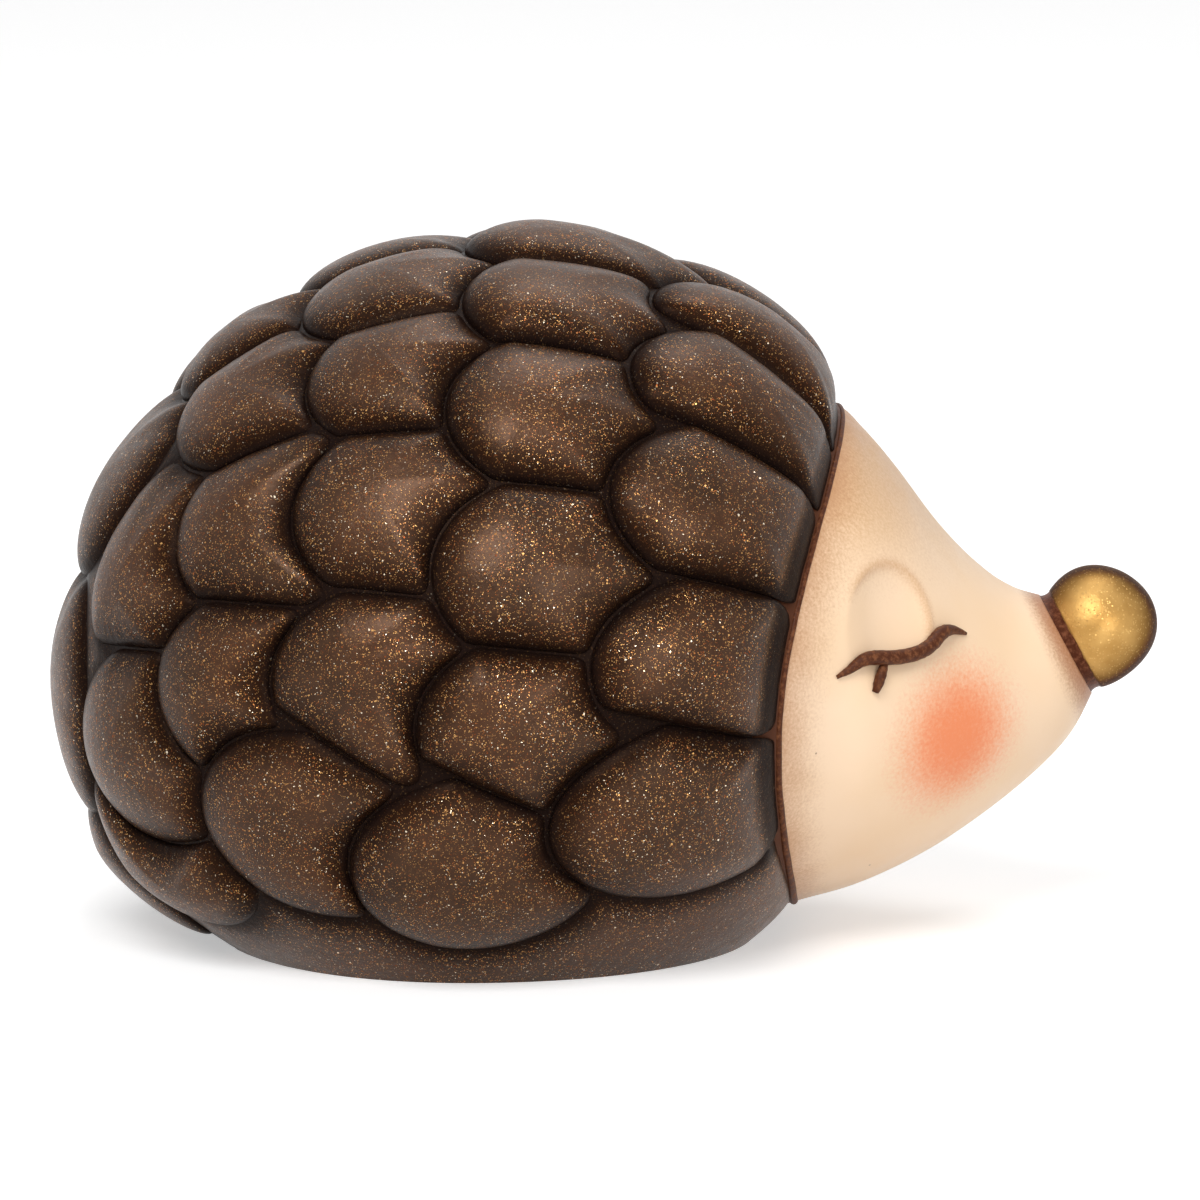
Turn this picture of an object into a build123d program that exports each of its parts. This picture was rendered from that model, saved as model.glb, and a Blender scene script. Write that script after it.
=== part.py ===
from build123d import *
import os
from math import cos, hypot, pi, radians, sin

# Glazed ceramic hedgehog figurine, nose towards +X, standing on z = 0.
# Millimetres and degrees. The origin lies under the middle of its length.

# Coat: a hollow egg, pitched nose up and cut flat where it stands
coat_half_length = 42.0
coat_half_width = 38.8
coat_pitch = 28.0
coat_cut_depth = 10.7
coat_wall = 3.2

# Border where the coat ends and the face begins, curved back at the cheeks
border_ahead = 31.7
border_sweep_radius = 75.0
border_lean = 5.6

# Bottom plate that closes the coat, with the vent of the hollow body
plate_thickness = 3.2
vent_radius = 3.5

# Scales: overlapping petals, each proud at its free rear end
scale_overlap = 9.1
scale_lap = 4.8
brow_extra_length = 8.0
brow_crown_radius = 32.0
scale_height = 2.3
scale_crown_radius = 26.0
scale_crown_shift = 1.0
scale_edge_radius = 1.0
scale_root = 5.0
scale_foot = 1.6
scale_gap = 0.3
ring_dip = 11.0
brow_overhang = 0.4

# Face: a tapering shell from the border to the nose
face_length = 25.2
face_height = 49.6
face_width = 48.8
face_rise = -1.1
snout_rise = -0.6
face_wall = 3.0
snout_end_height = 11.0
snout_end_tilt = 28.0

# Collar bead along the border
collar_offset = 0.7
collar_width = 0.9
collar_height = 0.5

# Nose: a round knob on a short neck, pegged into the snout
nose_radius = 5.9
nose_half_length = 6.1
nose_ahead = 3.4
neck_radius = 4.6
neck_length = 1.0
peg_radius = 2.6
peg_length = 3.6
peg_clearance = 0.1

# Eyelids: low domes on both sides of the face
eyelid_bulge_radius = 9.0
eyelid_bulge_height = 1.3
eyelid_height = 5.4
eyelid_ahead = 7.6

# Passes every cut through what it cuts
overrun = 5.0

# Spacing of the scales along and around the coat, as shares of half its girth
scale_pitch_share = 0.133
scale_spread_share = 0.125

# Places of the near side's scales, as shares of a half turn: down from the nose pole,
# around from the crest, and turned about the scale's own middle
brow_place_shares = (
    (0.298, 0.078, 0.015),
    (0.311, 0.174, 0.030),
    (0.314, 0.287, 0.047),
    (0.303, 0.425, 0.058),
    (0.310, 0.562, 0.075),
)
shoulder_place_shares = (
    (0.475, 0.000, 0.000),
    (0.478, 0.120, 0.022),
    (0.482, 0.243, 0.042),
    (0.474, 0.382, 0.056),
    (0.463, 0.510, 0.060),
    (0.494, 0.634, 0.120),
)
back_place_shares = (
    (0.612, 0.070, 0.013),
    (0.602, 0.203, 0.036),
    (0.598, 0.343, 0.053),
    (0.590, 0.497, 0.060),
    (0.628, 0.642, 0.050),
)
rump_place_shares = (
    (0.735, 0.000, 0.000),
    (0.736, 0.170, 0.030),
    (0.712, 0.360, 0.054),
    (0.700, 0.535, 0.060),
)
tail_place_shares = (
    (0.900, 0.000, 0.000),
    (0.835, 0.400, 0.250),
    (0.790, 0.665, 0.170),
)
rear_place_shares = (
    (0.905, 1.000, 1.000),
    (0.725, 1.000, 1.000),
    (0.758, 0.765, 0.100),
)

# Sections of the face from inside the coat to near the snout's end: reach along the face's length,
# rise, height and width as shares of the face's own, and tilt as a share of the snout's
face_section_shares = (
    (-0.34, 0.000, 1.105, 1.250, -0.20),
    (0.00, 0.000, 1.000, 1.000, -0.17),
    (0.19, -0.009, 0.908, 0.900, -0.04),
    (0.39, -0.021, 0.765, 0.760, 0.12),
    (0.59, -0.034, 0.585, 0.590, 0.32),
    (0.79, -0.032, 0.412, 0.412, 0.60),
    (0.905, -0.019, 0.314, 0.316, 0.80),
)
cavity_sections = 5

half_turn = 180.0
nose_tilt_sine = sin(radians(snout_end_tilt))
nose_tilt_cosine = cos(radians(snout_end_tilt))

scale_length = scale_pitch_share * pi * (coat_half_length + coat_half_width) / 2 + scale_overlap
scale_width = scale_spread_share * pi * coat_half_width + scale_lap
brow_scale_length = scale_length + brow_extra_length

# The coat's place follows from the reach of the tail scales behind it and of the nose before it
rear_reach = scale_height + hypot(
    coat_half_length * cos(radians(coat_pitch)), coat_half_width * sin(radians(coat_pitch))
)
nose_reach = hypot(nose_half_length * nose_tilt_cosine, nose_radius * nose_tilt_sine)
front_reach = border_ahead + face_length + nose_ahead * nose_tilt_cosine + nose_reach
coat_x = (rear_reach - front_reach) / 2
coat_half_height = hypot(
    coat_half_length * sin(radians(coat_pitch)), coat_half_width * cos(radians(coat_pitch))
)
coat_centre_height = coat_half_height - coat_cut_depth
coat_centre = Vector(coat_x, 0, coat_centre_height)
coat_axis = Vector(cos(radians(coat_pitch)), 0, sin(radians(coat_pitch)))
coat_plane = Plane(origin=coat_centre, x_dir=coat_axis, z_dir=(0, -1, 0))

ring_pole = Vector(cos(radians(ring_dip)), 0, -sin(radians(ring_dip)))
ring_crest = Vector(sin(radians(ring_dip)), 0, cos(radians(ring_dip)))
near_side = Vector(0, -1, 0)

border_x = coat_x + border_ahead
border_plane = Plane(
    origin=(border_x, 0, coat_centre_height),
    x_dir=(cos(radians(border_lean)), 0, -sin(radians(border_lean))),
    z_dir=(sin(radians(border_lean)), 0, cos(radians(border_lean))),
)

nose_plane = Plane(
    origin=(border_x + face_length, 0, coat_centre_height + snout_rise),
    x_dir=(0, 1, 0),
    z_dir=(nose_tilt_cosine, 0, nose_tilt_sine),
)
nose_middle = nose_plane.offset(nose_ahead)
nose_egg_plane = Plane(origin=nose_middle.origin, x_dir=nose_plane.z_dir, z_dir=(0, -1, 0))


def face_section(reach, rise, height, width, tilt):
    """One section of the face: its plane, half width and half height."""
    lean = radians(tilt * snout_end_tilt)
    plane = Plane(
        origin=(
            border_x + reach * face_length,
            0,
            coat_centre_height + face_rise + rise * face_height,
        ),
        x_dir=(0, 1, 0),
        z_dir=(cos(lean), 0, sin(lean)),
    )
    return plane, width * face_width / 2, height * face_height / 2


face_sections = [face_section(*shares) for shares in face_section_shares]
face_sections.append((nose_plane, snout_end_height / 2, snout_end_height / 2))


def spheroid(plane, along, across):
    """A solid egg on the plane's origin, turned about the plane's X axis."""
    with BuildPart() as egg:
        with BuildSketch(plane):
            with BuildLine():
                rim = EllipticalCenterArc((0, 0), along, across, start_angle=0, arc_size=half_turn)
                Line(rim @ 1, rim @ 0)
            make_face()
        revolve(axis=Axis(plane.origin, plane.x_dir))
    return egg.part


def behind_border(growth):
    """Everything behind the swept border surface, moved ahead by growth."""
    radius = border_sweep_radius + growth
    middle = border_plane.origin - border_plane.x_dir * border_sweep_radius
    with BuildPart() as block:
        with BuildSketch(Plane(middle, border_plane.x_dir, border_plane.z_dir).offset(-face_height)):
            Circle(radius)
        extrude(amount=2 * face_height)
    return block.part


def face_form(growth, section_count):
    """The face's solid form through its first sections, its surface moved outwards by growth."""
    with BuildPart() as form:
        for plane, half_width, half_height in face_sections[:section_count]:
            with BuildSketch(plane):
                Ellipse(half_width + growth, half_height + growth)
        loft()
    return form.part


def coat_seat(along_share, around_share, turn_share):
    """The plane on the coat at a place: X towards the nose end of a scale, Z outwards."""
    along = along_share * pi
    around = around_share * pi
    direction = ring_pole * cos(along)
    direction += (ring_crest * cos(around) + near_side * sin(around)) * sin(along)
    lengthwise = direction.dot(coat_axis)
    crosswise = direction - coat_axis * lengthwise
    reach = 1 / hypot(lengthwise / coat_half_length, crosswise.length / coat_half_width)
    normal = coat_axis * (lengthwise / coat_half_length**2) + crosswise / coat_half_width**2
    normal = normal.normalized()
    forward = (ring_pole - normal * ring_pole.dot(normal)).normalized()
    turn = turn_share * pi
    forward = forward * cos(turn) + normal.cross(forward) * sin(turn)
    return Plane(origin=coat_centre + direction * reach, x_dir=forward, z_dir=normal)


def scale_blank(length, crown_radius):
    """One whole scale on the XY plane, nose end towards X, before its neighbours cut it."""
    with BuildPart() as blank:
        with BuildSketch(Plane.XY.offset(-scale_root)):
            Ellipse(length / 2, scale_width / 2)
        extrude(amount=scale_root + scale_height + overrun)
        with Locations((-scale_crown_shift, 0, scale_height - crown_radius)):
            Sphere(crown_radius, mode=Mode.INTERSECT)
        fillet(blank.edges().group_by(SortBy.LENGTH)[-1], scale_edge_radius)
    return blank.part


def scale_clearance(length):
    """The upright space that one scale keeps clear of the scales behind it."""
    with BuildPart() as space:
        with BuildSketch(Plane.XY.offset(-scale_root - overrun)):
            Ellipse(length / 2 + scale_gap, scale_width / 2 + scale_gap)
        extrude(amount=scale_root + scale_height + 2 * overrun)
    return space.part


def beyond(plane):
    """A block that fills the near part of the space above the plane."""
    with BuildPart() as block:
        with BuildSketch(plane):
            Rectangle(2 * scale_length, 2 * scale_length)
        extrude(amount=scale_length)
    return block.part


def scale_solid(seat, blank, ahead, beside, limit):
    """One scale, seated on the coat, clear of the scales ahead of it and beside it."""
    cutters = list(ahead)
    for other in beside:
        between = Plane((seat.origin + other.origin) / 2, z_dir=other.origin - seat.origin)
        cutters.append(beyond(between.offset(-scale_gap / 2)))
    if seat.origin.Z < scale_length / 2:
        foot = Plane((seat.origin.X, seat.origin.Y, scale_foot), z_dir=(0, 0, -1))
        cutters.append(beyond(foot))
    with BuildPart() as scale:
        add(blank.moved(seat.location))
        for cutter in cutters + [coat_form]:
            add(cutter, mode=Mode.SUBTRACT)
        if limit:
            add(limit, mode=Mode.INTERSECT)
    return scale.part.solids().sort_by(SortBy.VOLUME)[-1]


def mirrored(seat):
    """The seat on the far side that faces this one."""
    return Plane(
        origin=(seat.origin.X, -seat.origin.Y, seat.origin.Z),
        x_dir=(seat.x_dir.X, -seat.x_dir.Y, seat.x_dir.Z),
        z_dir=(seat.z_dir.X, -seat.z_dir.Y, seat.z_dir.Z),
    )


def apart(seat, other):
    """The distance between two seats."""
    return (other.origin - seat.origin).length


def ring_solids(place_shares, earlier, blank, clearance, limit=None):
    """The scales of one ring on both sides, and each seat so far with the space it keeps clear."""
    seats = [coat_seat(*shares) for shares in place_shares]
    both_sides = seats + [mirrored(seat) for seat in seats if abs(seat.origin.Y) > scale_gap]
    solids = []
    for seat in seats:
        ahead = [space for other, space in earlier if apart(seat, other) < scale_length]
        beside = [other for other in both_sides if 0 < apart(seat, other) < scale_width]
        scale = scale_solid(seat, blank, ahead, beside, limit)
        solids.append(scale)
        if abs(seat.origin.Y) > scale_gap:
            solids.append(scale.mirror(Plane.XZ))
    spaces = [(seat, clearance.moved(seat.location)) for seat in both_sides]
    return solids, earlier + spaces


coat_form = spheroid(coat_plane, coat_half_length, coat_half_width)
coat_cavity = spheroid(coat_plane, coat_half_length - coat_wall, coat_half_width - coat_wall)
coat_side = behind_border(0)
face_solid = face_form(0, len(face_sections))
face_cavity = face_form(-face_wall, cavity_sections)

with BuildPart() as coat_shell:
    add(coat_form)
    add(coat_side, mode=Mode.INTERSECT)
    add(coat_cavity, mode=Mode.SUBTRACT)
    split(bisect_by=Plane.XY, keep=Keep.TOP)

with BuildPart() as base_plate:
    add(coat_cavity)
    split(bisect_by=Plane.XY, keep=Keep.TOP)
    split(bisect_by=Plane.XY.offset(plate_thickness), keep=Keep.BOTTOM)
    with Locations((coat_x, 0, plate_thickness)):
        Hole(vent_radius)

with BuildPart() as nose_knob:
    add(spheroid(nose_egg_plane, nose_half_length, nose_radius))
    split(bisect_by=nose_plane.offset(neck_length), keep=Keep.TOP)
    with BuildSketch(nose_plane):
        Circle(neck_radius)
    extrude(amount=neck_length)
    with BuildSketch(nose_plane):
        Circle(peg_radius)
    extrude(amount=-peg_length)

with BuildPart() as face_shell:
    add(face_solid)
    add(coat_side, mode=Mode.SUBTRACT)
    add(face_cavity, mode=Mode.SUBTRACT)
    with BuildSketch(nose_plane):
        Circle(peg_radius + peg_clearance)
    extrude(amount=-peg_length - peg_clearance, mode=Mode.SUBTRACT)

with BuildPart() as face_collar:
    add(face_form(collar_height, len(face_sections)))
    add(behind_border(collar_offset + collar_width), mode=Mode.INTERSECT)
    add(behind_border(collar_offset), mode=Mode.SUBTRACT)
    add(face_solid, mode=Mode.SUBTRACT)

eyelid_track = Edge.make_line(
    (border_x + eyelid_ahead, 0, coat_centre_height + eyelid_height),
    (border_x + eyelid_ahead, -face_width, coat_centre_height + eyelid_height),
)
eyelid_point = face_solid.intersect(eyelid_track)[0] @ 1
eyelid_normal = face_solid.faces().sort_by_distance(eyelid_point)[0].normal_at(eyelid_point)
eyelid_middle = eyelid_point + eyelid_normal * (eyelid_bulge_height - eyelid_bulge_radius)

with BuildPart() as eyelid_right:
    with Locations(eyelid_middle):
        Sphere(eyelid_bulge_radius)
    add(face_solid, mode=Mode.SUBTRACT)

with BuildPart() as eyelid_left:
    add(eyelid_right.part.mirror(Plane.XZ))

scale = scale_blank(scale_length, scale_crown_radius)
clearance = scale_clearance(scale_length)
brow_scale = scale_blank(brow_scale_length, brow_crown_radius)
brow_clearance = scale_clearance(brow_scale_length)

with BuildPart() as brow_scales:
    solids, spaces = ring_solids(
        brow_place_shares, [], brow_scale, brow_clearance, behind_border(brow_overhang)
    )
    add(solids, mode=Mode.REPLACE)

with BuildPart() as shoulder_scales:
    solids, spaces = ring_solids(shoulder_place_shares, spaces, scale, clearance)
    add(solids, mode=Mode.REPLACE)

with BuildPart() as back_scales:
    solids, spaces = ring_solids(back_place_shares, spaces, scale, clearance)
    add(solids, mode=Mode.REPLACE)

with BuildPart() as rump_scales:
    solids, spaces = ring_solids(rump_place_shares, spaces, scale, clearance)
    add(solids, mode=Mode.REPLACE)

with BuildPart() as tail_scales:
    solids, spaces = ring_solids(tail_place_shares, spaces, scale, clearance)
    add(solids, mode=Mode.REPLACE)

with BuildPart() as rear_scales:
    solids = ring_solids(rear_place_shares, spaces, scale, clearance)[0]
    add(solids, mode=Mode.REPLACE)

pieces = {
    "coat_shell": coat_shell,
    "base_plate": base_plate,
    "brow_scales": brow_scales,
    "shoulder_scales": shoulder_scales,
    "back_scales": back_scales,
    "rump_scales": rump_scales,
    "tail_scales": tail_scales,
    "rear_scales": rear_scales,
    "face_shell": face_shell,
    "face_collar": face_collar,
    "eyelid_right": eyelid_right,
    "eyelid_left": eyelid_left,
    "nose_knob": nose_knob,
}

os.makedirs("parts", exist_ok=True)
for name, piece in pieces.items():
    piece.part.label = name
    export_step(piece.part, f"parts/{name}.step")
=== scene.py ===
from math import cos, hypot, pi, radians, sin

import bmesh
import bpy
import numpy as np
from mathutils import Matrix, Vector, noise
from mathutils.bvhtree import BVHTree


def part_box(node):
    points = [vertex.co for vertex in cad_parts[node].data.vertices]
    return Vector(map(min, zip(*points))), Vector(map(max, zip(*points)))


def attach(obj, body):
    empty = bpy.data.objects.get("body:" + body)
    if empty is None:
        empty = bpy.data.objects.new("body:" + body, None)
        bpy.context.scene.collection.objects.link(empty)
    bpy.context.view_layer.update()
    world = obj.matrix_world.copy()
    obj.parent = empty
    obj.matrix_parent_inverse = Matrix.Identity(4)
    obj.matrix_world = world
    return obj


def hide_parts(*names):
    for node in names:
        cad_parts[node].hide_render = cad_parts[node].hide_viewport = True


# Glazed ceramic hedgehog figurine, nose towards +X, standing on z = 0, in metres.

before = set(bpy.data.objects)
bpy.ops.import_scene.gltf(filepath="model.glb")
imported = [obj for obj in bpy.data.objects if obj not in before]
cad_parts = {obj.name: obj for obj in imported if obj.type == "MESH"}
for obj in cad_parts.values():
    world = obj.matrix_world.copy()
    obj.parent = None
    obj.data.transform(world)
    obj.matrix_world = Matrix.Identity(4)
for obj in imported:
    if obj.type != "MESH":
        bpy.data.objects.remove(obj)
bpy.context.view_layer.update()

MM = 0.001
weld = 0.01 * MM

# Coat: a hollow egg, pitched nose up and cut flat where it stands
coat_half_length = 42.0 * MM
coat_half_width = 38.8 * MM
coat_pitch = radians(28)
coat_cut_depth = 10.7 * MM
coat_wall = 3.2 * MM
hollow_height = 16.0 * MM
border_ahead = 31.7 * MM
border_sweep_radius = 75.0 * MM
border_lean = radians(5.6)
tuck_height = 9.0 * MM
tuck_depth = 4.6 * MM
tuck_sharpness = 1.7

# Scales: pads in cells of their own, lowest where they slip under the scales ahead
scale_half_length = 13.0 * MM
brow_half_length = 17.0 * MM
scale_half_width = 10.0 * MM
scale_gap = 0.25 * MM
scale_foot = 1.6 * MM
scale_rise = 2.55 * MM
rear_scale_rise = 2.0 * MM
brow_overhang = 0.35 * MM
ring_dip = radians(11)

# Face, nose and eyelid
face_length = 25.2 * MM
face_height = 49.6 * MM
face_width = 48.8 * MM
face_rise = -1.1 * MM
snout_rise = -0.6 * MM
snout_end_radius = 5.5 * MM
snout_end_tilt = radians(28)

# Places of the near side's scales, as shares of a half turn: down from the nose pole,
# around from the crest, and turned about the scale's own middle
brow_place_shares = (
    (0.298, 0.078, 0.015),
    (0.311, 0.174, 0.030),
    (0.314, 0.287, 0.047),
    (0.303, 0.425, 0.058),
    (0.310, 0.562, 0.075),
)
shoulder_place_shares = (
    (0.475, 0.000, 0.000),
    (0.478, 0.120, 0.022),
    (0.482, 0.243, 0.042),
    (0.474, 0.382, 0.056),
    (0.463, 0.510, 0.060),
    (0.494, 0.634, 0.120),
)
back_place_shares = (
    (0.612, 0.070, 0.013),
    (0.602, 0.203, 0.036),
    (0.598, 0.343, 0.053),
    (0.590, 0.497, 0.060),
    (0.628, 0.642, 0.050),
)
rump_place_shares = (
    (0.735, 0.000, 0.000),
    (0.736, 0.170, 0.030),
    (0.712, 0.360, 0.054),
    (0.700, 0.535, 0.060),
)
tail_place_shares = (
    (0.900, 0.000, 0.000),
    (0.835, 0.400, 0.250),
    (0.790, 0.665, 0.170),
)
rear_place_shares = (
    (0.905, 1.000, 1.000),
    (0.725, 1.000, 1.000),
    (0.758, 0.765, 0.100),
)

# Sections of the face: reach, rise, height and width as shares of the face's own, and tilt as a
# share of the snout end's
face_section_shares = (
    (-0.34, 0.000, 1.105, 1.250, -0.20),
    (0.00, 0.000, 1.000, 1.000, -0.17),
    (0.19, -0.009, 0.908, 0.900, -0.04),
    (0.39, -0.021, 0.765, 0.760, 0.12),
    (0.59, -0.034, 0.585, 0.590, 0.32),
    (0.79, -0.032, 0.412, 0.412, 0.60),
    (0.905, -0.019, 0.314, 0.316, 0.80),
)

# The photograph's frame: its scale, and the pixel where the middle of the base line stands
photo_pixels = 1200
photo_pixel = 0.0989 * MM
origin_pixel = (603, 929)
camera_azimuth = radians(-3)
camera_elevation = radians(10)
camera_distance = 1.6
sensor_width = 36

# Where the photograph shows the lashes, the middle of the blush and the middle of the eyelid
lash_pixels = (
    (836, 677), (843, 673), (850, 668), (857, 662), (864, 658), (875, 657), (890, 658), (905, 656),
    (918, 652), (926, 647), (932, 640), (938, 633), (946, 630), (955, 631), (965, 634),
)
short_lash_pixels = ((884, 660), (881, 668), (878, 677), (876, 685), (874, 692))
blush_pixel = (958, 737)
eyelid_pixel = (891, 625)


def unit(vectors):
    return vectors / np.linalg.norm(vectors, axis=-1, keepdims=True)


def vec(*numbers):
    return np.array(numbers, float)


coat_axis = vec(cos(coat_pitch), 0, sin(coat_pitch))
coat_half_height = hypot(coat_half_length * sin(coat_pitch), coat_half_width * cos(coat_pitch))
coat_reach = hypot(coat_half_length * cos(coat_pitch), coat_half_width * sin(coat_pitch))
coat_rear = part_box("coat_shell")[0][0]
coat_centre = vec(coat_rear + coat_reach, 0, coat_half_height - coat_cut_depth)
coat_form = np.outer(coat_axis, coat_axis) / coat_half_length**2
coat_form += (np.eye(3) - np.outer(coat_axis, coat_axis)) / coat_half_width**2

ring_pole = vec(cos(ring_dip), 0, -sin(ring_dip))
ring_crest = vec(sin(ring_dip), 0, cos(ring_dip))
near_side = vec(0, -1, 0)
far_flip = vec(1, -1, 1)

border_x = coat_centre[0] + border_ahead
border_middle = vec(border_x, 0, coat_centre[2])
border_forward = vec(cos(border_lean), 0, -sin(border_lean))


def border_reach(points):
    """How far points lie ahead of the swept border, negative on the coat's side."""
    offsets = points - border_middle + border_forward * border_sweep_radius
    return np.hypot(offsets @ border_forward, offsets[..., 1]) - border_sweep_radius


def border_level(points, directions):
    """Unit directions turned so that they neither near nor leave the border."""
    offsets = points - border_middle + border_forward * border_sweep_radius
    ahead = (offsets @ border_forward)[:, None] * border_forward + offsets * vec(0, 1, 0)
    ahead = unit(ahead)
    level = directions - np.einsum("ij,ij->i", directions, ahead)[:, None] * ahead
    return unit(level)


def tucked(points):
    """The points with the foot of the coat drawn in at the rear, where it curves under."""
    low = np.clip(1 - points[:, 2] / tuck_height, 0, 1) ** tuck_sharpness
    behind = smooth_steps(0, coat_half_length, coat_centre[0] - points[:, 0])
    return points + (tuck_depth * low * behind)[:, None] * vec(1, 0, 0)


def coat_normals(points):
    """Outward unit normals of the coat's egg."""
    return unit((points - coat_centre) @ coat_form)


def onto_coat(points, direction):
    """The points slid along a direction until they lie on the outside of the coat's egg."""
    offsets = points - coat_centre
    a = direction @ coat_form @ direction
    b = offsets @ coat_form @ direction
    c = np.einsum("...i,ij,...j->...", offsets, coat_form, offsets) - 1
    slide = (-b + np.sqrt(np.maximum(b * b - a * c, 0))) / a
    return points + slide[..., None] * direction


def egg_places(turns, angles):
    """Places on the coat's egg, turned from the crest and down from the nose pole."""
    around = np.cos(turns)[..., None] * ring_crest + np.sin(turns)[..., None] * near_side
    rays = np.cos(angles)[..., None] * ring_pole + np.sin(angles)[..., None] * around
    stretch = 1 / np.sqrt(np.einsum("...i,ij,...j->...", rays, coat_form, rays))
    return coat_centre + rays * stretch[..., None]


def smooth_steps(low, high, values):
    """0 below low, 1 above high, and a smooth rise between them."""
    share = np.clip((values - low) / (high - low), 0, 1)
    return share * share * (3 - 2 * share)


drift_steps = (7.3, 1.7, 3.1)


def drift(points, grain, seed):
    """Slow hand-made unevenness, about -1 to 1, at places on the figurine."""
    shift = Vector([seed * step for step in drift_steps])
    return np.array([noise.noise(Vector(p) / grain + shift) for p in points])


class Scale:
    """One scale's seat on the coat: its middle, forward, side and outward directions."""

    def __init__(self, ring, along_share, around_share, turn_share):
        along, around, turn = along_share * pi, around_share * pi, turn_share * pi
        direction = ring_pole * cos(along)
        direction = direction + (ring_crest * cos(around) + near_side * sin(around)) * sin(along)
        self.ring = ring
        self.middle = onto_coat(coat_centre, direction)
        self.out = coat_normals(self.middle)
        forward = unit(ring_pole - self.out * (ring_pole @ self.out))
        self.forward = forward * cos(turn) + np.cross(self.out, forward) * sin(turn)
        self.side = np.cross(self.out, self.forward)
        self.half_length = brow_half_length if ring == 0 else scale_half_length

    def far_twin(self):
        """The same seat on the far side."""
        twin = Scale.__new__(Scale)
        twin.ring, twin.half_length = self.ring, self.half_length
        twin.middle, twin.out = self.middle * far_flip, self.out * far_flip
        twin.forward, twin.side = self.forward * far_flip, -self.side * far_flip
        return twin

    def central(self):
        return abs(self.middle[1]) < scale_gap

    def spread(self, points, margin):
        """0 in the middle of the scale's own oval, 1 on its rim moved outwards by a margin."""
        offsets = points - self.middle
        across = np.hypot(
            offsets @ self.forward / (self.half_length + margin),
            offsets @ self.side / (scale_half_width + margin),
        )
        return np.where(offsets @ self.out > -scale_half_length, across, np.inf)

    def apart(self, other):
        return np.linalg.norm(other.middle - self.middle)


ring_tables = {
    "brow_scales": brow_place_shares,
    "shoulder_scales": shoulder_place_shares,
    "back_scales": back_place_shares,
    "rump_scales": rump_place_shares,
    "tail_scales": tail_place_shares,
    "rear_scales": rear_place_shares,
}
near_scales = [
    Scale(ring, *shares) for ring, table in enumerate(ring_tables.values()) for shares in table
]
all_scales = near_scales + [scale.far_twin() for scale in near_scales if not scale.central()]

OWN_RIM, AHEAD_RIM, SIDE_RIM, BORDER_RIM, FOOT_RIM = range(5)


def room_in_cell(scale, points):
    """How far inside the scale's cell each point lies, and which rim of the cell is nearest."""
    rooms = [(1 - scale.spread(points, 0)) * scale_half_width]
    rims = [OWN_RIM]
    for other in all_scales:
        distance = scale.apart(other)
        if other.ring < scale.ring and distance < 2 * scale_half_length:
            rooms.append((other.spread(points, scale_gap) - 1) * scale_half_width)
            rims.append(AHEAD_RIM)
        if other.ring == scale.ring and 0 < distance < 2 * scale_half_width:
            between = (scale.middle + other.middle) / 2
            rooms.append((between - points) @ unit(other.middle - scale.middle) - scale_gap / 2)
            rims.append(SIDE_RIM)
    if scale.ring == 0:
        rooms.append(brow_overhang - border_reach(points))
        rims.append(BORDER_RIM)
    rooms.append(points[..., 2] - scale_foot)
    rims.append(FOOT_RIM)
    rooms = np.stack(np.broadcast_arrays(*rooms))
    return rooms.min(0), np.array(rims)[rooms.argmin(0)]


rim_angles = 128
pad_rows = 36
rim_turns = np.arange(rim_angles) * 2 * pi / rim_angles


def round_off(values, width):
    """Values around a closed rim, evened out over a width in radians."""
    gaps = (rim_turns[:, None] - rim_turns[None, :] + pi) % (2 * pi) - pi
    weights = np.exp(-((gaps / width) ** 2) / 2)
    return weights @ values / weights.sum(1)


# For each rim of a cell: how steeply the pad rises from it, and how deep its edge is set
rim_shapes = {
    OWN_RIM: (0.94, 0.55 * MM),
    AHEAD_RIM: (1.2, 0.6 * MM),
    SIDE_RIM: (1.05, 0.55 * MM),
    BORDER_RIM: (0.66, 3.2 * MM),
    FOOT_RIM: (0.8, 0.5 * MM),
}

# The grid that finds a cell's middle, the search for its rim, and the radians over which each
# measure of the rim is evened out
cell_reach_share = 1.1
cell_grid = 41
rim_search_share = 1.6
rim_search_steps = 200
radius_evening = 0.05
depth_evening = 0.09
rise_evening = 0.16


def scale_outline(scale):
    """The middle of the cell in the scale's own plane, and its rim's radius, rise and depth."""

    def room_at(along, beside):
        flat = scale.middle + along[..., None] * scale.forward + beside[..., None] * scale.side
        return room_in_cell(scale, onto_coat(flat, scale.out))

    reach = np.linspace(-cell_reach_share, cell_reach_share, cell_grid) * scale.half_length
    along, beside = (grid.ravel() for grid in np.meshgrid(reach, reach))
    best = room_at(along, beside)[0].argmax()
    middle = vec(along[best], beside[best])
    search = np.linspace(0, rim_search_share * scale.half_length, rim_search_steps)
    room, rim = room_at(
        middle[0] + np.cos(rim_turns)[:, None] * search,
        middle[1] + np.sin(rim_turns)[:, None] * search,
    )
    first = np.argmax(room < 0, axis=1)
    kinds = rim[np.arange(rim_angles), first]
    rises, depths = map(np.array, zip(*(rim_shapes[kind] for kind in kinds)))
    radius = round_off(search[first], radius_evening)
    return middle, radius, round_off(rises, rise_evening), round_off(depths, depth_evening)


def merge(form, distance):
    bmesh.ops.remove_doubles(form, verts=form.verts, dist=distance)


def as_mesh(form, name):
    """Ends a bmesh and gives it as a mesh."""
    mesh = bpy.data.meshes.new(name)
    form.to_mesh(mesh)
    form.free()
    return mesh


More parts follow.
